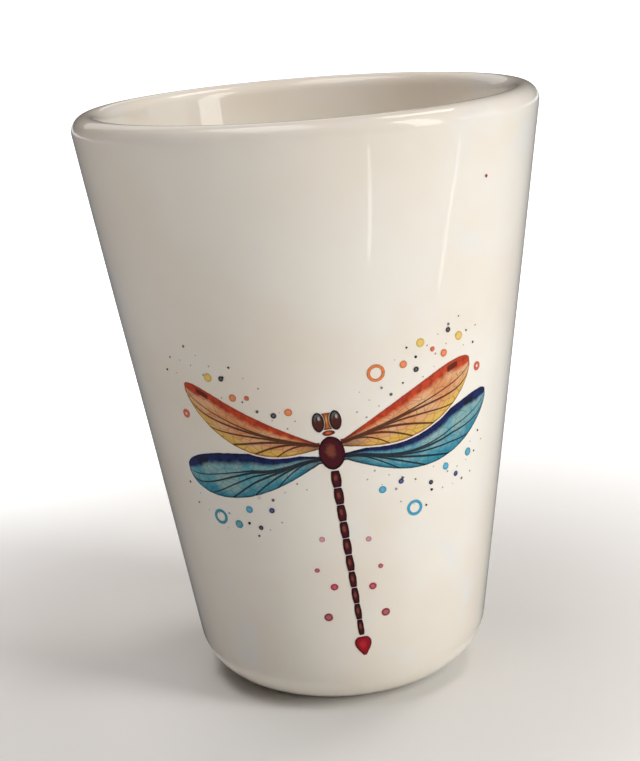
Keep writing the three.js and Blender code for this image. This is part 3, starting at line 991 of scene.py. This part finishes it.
studio = {
    "floor": colour("f6f5f3"),
    "floorMottle": colour("efeeeb"),
    "floorHalf": 60.0,
    "card": colour("6f747c"),
    "cardRadii": (16 * mm, 900 * mm),
    "glow": (0.92, 0.97, 1.0, 1.0),  # lifts the floor towards white, away from the cup
    "nearGlow": {"amount": 0.28, "from": 0.035, "to": 0.16},
    "farGlow": {"amount": 0.42, "from": 0.16, "to": 2.0},
    "seenGlow": {"amount": 0.5, "from": 0.03, "to": 0.1},  # more of it for the eye than falls on the cup
    "fill": (1.0, 0.84, 0.78),
    "fillStrength": 0.02,
    "backdropStrength": 1.0,  # how bright the plain background looks
    "lamps": [  # turn is degrees to the right of the front, rise is degrees above the floor
        {"name": "window", "turn": 60, "rise": 29, "width": 15, "height": 45, "power": 18.8,
         "tint": (1, 1, 0.98)},
        {"name": "skylight", "turn": 122, "rise": 60, "width": 16, "height": 20, "power": 7.5,
         "tint": (1, 0.93, 0.88)},
        {"name": "ceiling", "turn": -80, "rise": 79, "width": 44, "height": 24, "power": 17.0,
         "tint": (1, 0.95, 0.93)},
        {"name": "backFill", "turn": 195, "rise": 32, "width": 40, "height": 30, "power": 3.5,
         "tint": (1, 0.98, 0.95)},
        {"name": "rightFill", "turn": 92, "rise": 10, "width": 30, "height": 16, "power": 2.8,
         "tint": (0.6, 0.8, 1)},
    ],
    "lampDistance": 2.0,
    "bounce": {  # a small card just outside the view, which only softens the shade on the lower right
        "turn": 50, "rise": 4, "width": 38, "height": 30, "power": 0.014, "tint": (1, 1, 0.98),
        "distance": 90 * mm, "aimHeight": 8 * mm,
    },
    "insideBounce": {  # a small card in the cup's mouth that softens the shade on the inside wall
        "from": (-5, -5, 54), "to": (12, 14, 50), "width": 14, "height": 8, "power": 0.00095,
    },  # in millimetres and watts
    "strips": [  # thin lamps lying on the floor, which show as bright upright lines in the glaze
        {"name": "nearStrip", "from": (70, -136), "to": (46, -96), "width": 3.6, "power": 0.0026},
        {"name": "sideStrip", "from": (168, -45), "to": (90, -47), "width": 3.4, "power": 0.0030},
    ],  # in millimetres and watts
}


def makeFloor(name, height, seen):
    # a wide plain table top with a very faint mottle, glowing more the further it is from the cup;
    # seen says whether this one shows in the picture or only throws its light back at the cup
    material, sheet = newMaterial(name)
    mottle = noise(sheet, 6.0).step(0.3, 0.8)
    tone = mottle.blend(studio["floor"], studio["floorMottle"])
    away = sheet.node("VectorMath", {"operation": "LENGTH"}, {0: sheet.node("TexCoord", output=3)}, 1)
    glows = [studio["nearGlow"], studio["farGlow"]] + ([studio["seenGlow"]] if seen else [])
    amount = sum(away.step(glow["from"], glow["to"]) * glow["amount"] for glow in glows)
    finishSurface(sheet, {
        "Base Color": tone,
        "Roughness": 0.8,
        "Specular IOR Level": 0.2,
        "Emission Color": amount.blend((0.0, 0.0, 0.0, 1.0), studio["glow"]),
        "Emission Strength": 1.0,
    })
    corners = np.array([[-1, -1, 0], [1, -1, 0], [1, 1, 0], [-1, 1, 0]]) * studio["floorHalf"]
    corners = corners + [0, 0, height]
    floor = meshPiece(name, corners, np.array([[0, 1, 2, 3]]), np.empty((0, 3), int))
    floor.data.materials.append(material)
    floor.visible_camera = seen
    for ray in ("diffuse", "glossy", "shadow", "transmission"):
        setattr(floor, "visible_" + ray, not seen)


def makeCard():
    # a dark ring just over the floor that only the gloss sees, so that the cup's pale sides keep an edge
    material, sheet = newMaterial("card")
    finishSurface(sheet, {"Base Color": studio["card"], "Roughness": 0.9, "Specular IOR Level": 0.0})
    turn = np.linspace(0, 2 * math.pi, 48, endpoint=False)
    radii = np.array(studio["cardRadii"])[:, None]
    points = np.stack([radii * np.sin(turn), -radii * np.cos(turn), np.full((2, 48), 1 * mm)], axis=-1)
    inner = np.arange(48)
    quads = np.stack([inner, inner + 48, (inner + 1) % 48 + 48, (inner + 1) % 48], axis=-1)
    card = meshPiece("card", points.reshape(-1, 3), quads, np.empty((0, 3), int))
    card.data.materials.append(material)
    for ray in ("camera", "diffuse", "shadow", "transmission"):
        setattr(card, "visible_" + ray, False)


def makeWorld():
    # a faint warm fill; seen directly it is a plain white backdrop
    world = bpy.data.worlds.new("studio")
    world.use_nodes = True
    world.node_tree.nodes.clear()
    sheet = Wire(world.node_tree)
    seen = sheet.node("LightPath")
    strength = seen * (studio["backdropStrength"] - studio["fillStrength"]) + studio["fillStrength"]
    tint = seen.blend((*studio["fill"], 1.0), (1.0, 1.0, 1.0, 1.0))
    background = sheet.node("Background", None, {"Color": tint, "Strength": strength})
    sheet.node("OutputWorld", None, {"Surface": background})
    bpy.context.scene.world = world


def addLamp(name, place, ahead, across, size, power, tint):
    # an area light at place, shining along ahead, its width lying along across
    data = bpy.data.lights.new(name, "AREA")
    data.shape = "RECTANGLE"
    data.size, data.size_y = size
    data.energy = power
    data.color = tint
    lamp = bpy.data.objects.new(name, data)
    bpy.context.scene.collection.objects.link(lamp)
    lamp.visible_camera = False
    ahead = ahead / np.linalg.norm(ahead)
    across = across / np.linalg.norm(across)
    matrix = np.eye(4)
    matrix[:3, 0] = across
    matrix[:3, 1] = np.cross(across, ahead)
    matrix[:3, 2] = -ahead
    matrix[:3, 3] = place
    lamp.matrix_world = Matrix(matrix.tolist())
    return lamp


def addRoundLamp(name, lamp, reach, aimHeight):
    # a lamp on a sphere round the cup, sized by the angle it fills as seen from it
    turn, rise = math.radians(lamp["turn"]), math.radians(lamp["rise"])
    away = np.array([math.cos(rise) * math.sin(turn), -math.cos(rise) * math.cos(turn), math.sin(rise)])
    across = np.array([math.cos(turn), math.sin(turn), 0.0])
    size = [2 * reach * math.tan(math.radians(lamp[key]) / 2) for key in ("width", "height")]
    place = np.array([0.0, 0.0, aimHeight]) + reach * away
    return addLamp(name, place, -away, across, size, lamp["power"], lamp["tint"])


def makeLamps():
    # the big lamps, the two small cards that only soften shade, and the strips on the floor
    for lamp in studio["lamps"]:
        addRoundLamp(lamp["name"], lamp, studio["lampDistance"], cup["height"] / 2)
    bounce = studio["bounce"]
    card = addRoundLamp("bounce", bounce, bounce["distance"], bounce["aimHeight"])
    card.visible_glossy = False
    inside = studio["insideBounce"]
    start, end = (np.array(inside[key]) * mm for key in ("from", "to"))
    ahead = end - start
    across = np.array([-ahead[1], ahead[0], 0.0])
    size = (inside["width"] * mm, inside["height"] * mm)
    card = addLamp("insideBounce", start, ahead, across, size, inside["power"], (1, 1, 1))
    card.visible_glossy = False
    for strip in studio["strips"]:
        start, end = (np.array([*strip[key], 2.0]) * mm for key in ("from", "to"))
        size = (np.linalg.norm(end - start), strip["width"] * mm)
        up = np.array([0.0, 0.0, 1.0])
        addLamp(strip["name"], (start + end) / 2, up, end - start, size, strip["power"], (1, 1, 1))


makeFloor("floor", 0.0, True)
makeFloor("floorLight", -0.05 * mm, False)
makeCard()
makeWorld()
makeLamps()
bpy.context.scene.view_settings.view_transform = "Standard"
print("floor and lights set")
